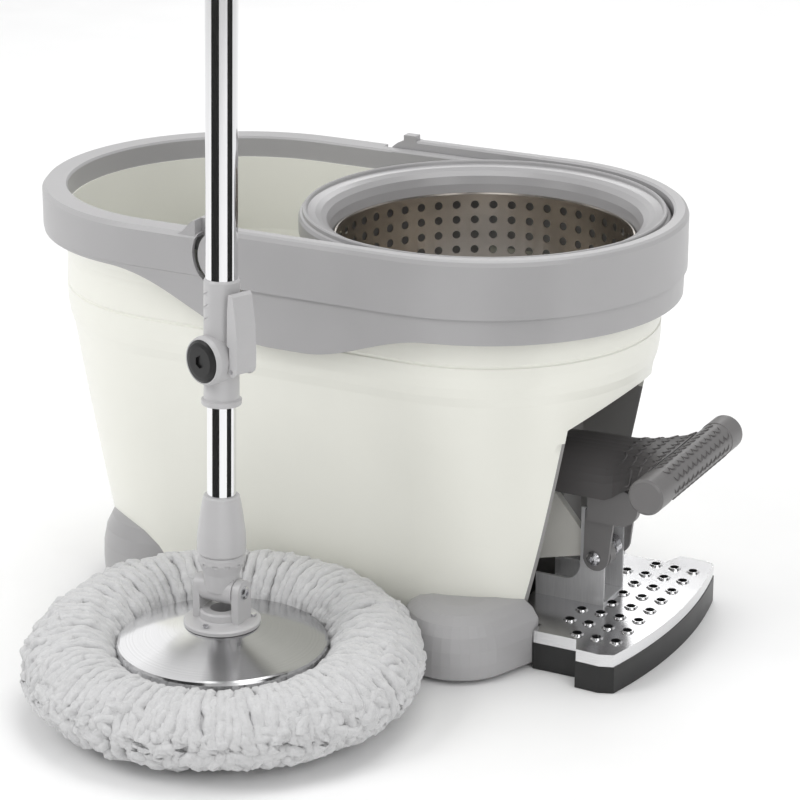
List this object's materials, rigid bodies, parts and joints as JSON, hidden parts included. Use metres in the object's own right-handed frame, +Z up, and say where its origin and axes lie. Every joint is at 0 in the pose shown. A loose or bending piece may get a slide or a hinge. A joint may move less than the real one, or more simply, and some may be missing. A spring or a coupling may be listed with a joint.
{
  "type": "spin mop",
  "caption": "Bucket with a pedal-driven spin basket, folding carry handle and stand, with a telescopic mop that stands beside it on a round head of looped fibre.",
  "frame": {"origin": "on the floor under the middle of the bucket, in the underside of the stand's plate", "axes": "+X towards the pedal along the bucket, +Y away from the mop to the back, +Z up"},
  "size_m": [0.5138, 0.5106, 0.8975],
  "materials": {
    "body_plastic": "satin moulded plastic",
    "grey_plastic": "satin moulded plastic",
    "light_plastic": "satin moulded plastic",
    "dark_plastic": "fine grain",
    "black_plastic": "satin",
    "brushed_steel": "bright rolled sheet",
    "basket_steel": "drawn and polished",
    "chromed_tube": "mirror",
    "fastener_steel": "zinc plated",
    "nylon": "natural",
    "rubber": "matt",
    "yarn": "looped chenille yarn"
  },
  "bodies": {
    "bucket": {"bucket_shell": "body_plastic", "rim_collar": "grey_plastic", "basket_cover": "light_plastic", "splash_guard": "grey_plastic", "pedal_housing": "grey_plastic", "foot_front_right": "grey_plastic", "foot_rear_right": "grey_plastic", "foot_front_left": "grey_plastic", "foot_rear_left": "grey_plastic", "foot_pads": "rubber", "handle_pins": "fastener_steel", "stand_base": "black_plastic", "tread_plate": "brushed_steel", "pedal_bracket": "brushed_steel", "pedal_bolt": "fastener_steel", "pedal_spring": "fastener_steel", "gearbox_frame": "dark_plastic", "spindle_bush": "nylon", "stand_screws": "fastener_steel"},
    "carry_handle": {"carry_handle": "grey_plastic"},
    "pedal": {"pedal_frame": "dark_plastic", "pedal_hood": "dark_plastic", "pedal_roll": "dark_plastic", "sector_gear": "nylon"},
    "layshaft": {"layshaft": "fastener_steel", "layshaft_pinion": "nylon", "crown_gear": "nylon"},
    "spindle": {"spindle": "fastener_steel", "spindle_pinion": "nylon", "clutch_hub": "dark_plastic"},
    "basket": {"spin_basket": "basket_steel", "basket_hub": "grey_plastic", "clutch_cup": "dark_plastic"},
    "mop_head": {"mop_fibres": "yarn", "mop_disc": "light_plastic", "mop_plate": "brushed_steel", "mop_clevis": "light_plastic", "plate_screws": "fastener_steel", "tilt_pin": "fastener_steel"},
    "knuckle": {"tilt_knuckle": "light_plastic"},
    "socket": {"pole_socket": "light_plastic", "lower_tube": "chromed_tube", "swivel_ring": "fastener_steel", "tube_bush": "nylon"},
    "upper_pole": {"upper_tube": "chromed_tube", "clamp_body": "light_plastic", "clamp_cap": "black_plastic", "clamp_pin": "fastener_steel", "pole_grip": "grey_plastic", "hanging_cap": "grey_plastic"},
    "clamp_lever": {"clamp_lever": "light_plastic"}
  },
  "joints": [
    {"name": "carry_handle_swing", "type": "hinge", "parent": "bucket", "child": "carry_handle", "pos_m": [-0.027, 0, 0.2865], "axis": [0, -1, 0], "range_deg": [0, 95]},
    {"name": "pedal_press", "type": "hinge", "parent": "bucket", "child": "pedal", "pos_m": [0.1994, 0, 0.0652], "axis": [0, 1, 0], "range_deg": [0, 28], "stiffness_Nm_per_rad": 1.5, "springref_deg": -34.38, "deforming": ["pedal_spring"]},
    {"name": "layshaft_turn", "type": "hinge", "parent": "bucket", "child": "layshaft", "pos_m": [0.101, 0, 0.122], "axis": [0, 1, 0], "range_deg": [-226, 2]},
    {"name": "spindle_turn", "type": "hinge", "parent": "bucket", "child": "spindle", "pos_m": [0.101, 0, 0.16], "axis": [0, 0, 1], "range_deg": [-4, 452]},
    {"name": "basket_spin", "type": "hinge", "parent": "bucket", "child": "basket", "pos_m": [0.101, 0, 0.215], "axis": [0, 0, 1], "continuous": true},
    {"name": "mop_lift", "type": "slide", "parent": "bucket", "child": "mop_head", "axis": [0, -0.342, 0.9397], "range_m": [0, 0.3]},
    {"name": "pole_tilt", "type": "hinge", "parent": "mop_head", "child": "knuckle", "pos_m": [0.0215, -0.233, 0.0875], "axis": [1, 0, 0], "range_deg": [-10, 80]},
    {"name": "pole_swivel", "type": "hinge", "parent": "knuckle", "child": "socket", "pos_m": [0.0215, -0.233, 0.0875], "axis": [0, 0.0401, 0.9992], "continuous": true},
    {"name": "pole_telescope", "type": "slide", "parent": "socket", "child": "upper_pole", "axis": [0, 0.0401, 0.9992], "range_m": [0, 0.4]},
    {"name": "clamp_lever_turn", "type": "hinge", "parent": "upper_pole", "child": "clamp_lever", "pos_m": [0.0392, -0.23209, 0.24409], "axis": [0.2907, 0.956, -0.0384], "range_deg": [0, 100]}
  ],
  "couplings": [
    {"joint": "layshaft_turn", "follows": "pedal_press", "ratio": -8},
    {"joint": "spindle_turn", "follows": "pedal_press", "ratio": 16}
  ]
}
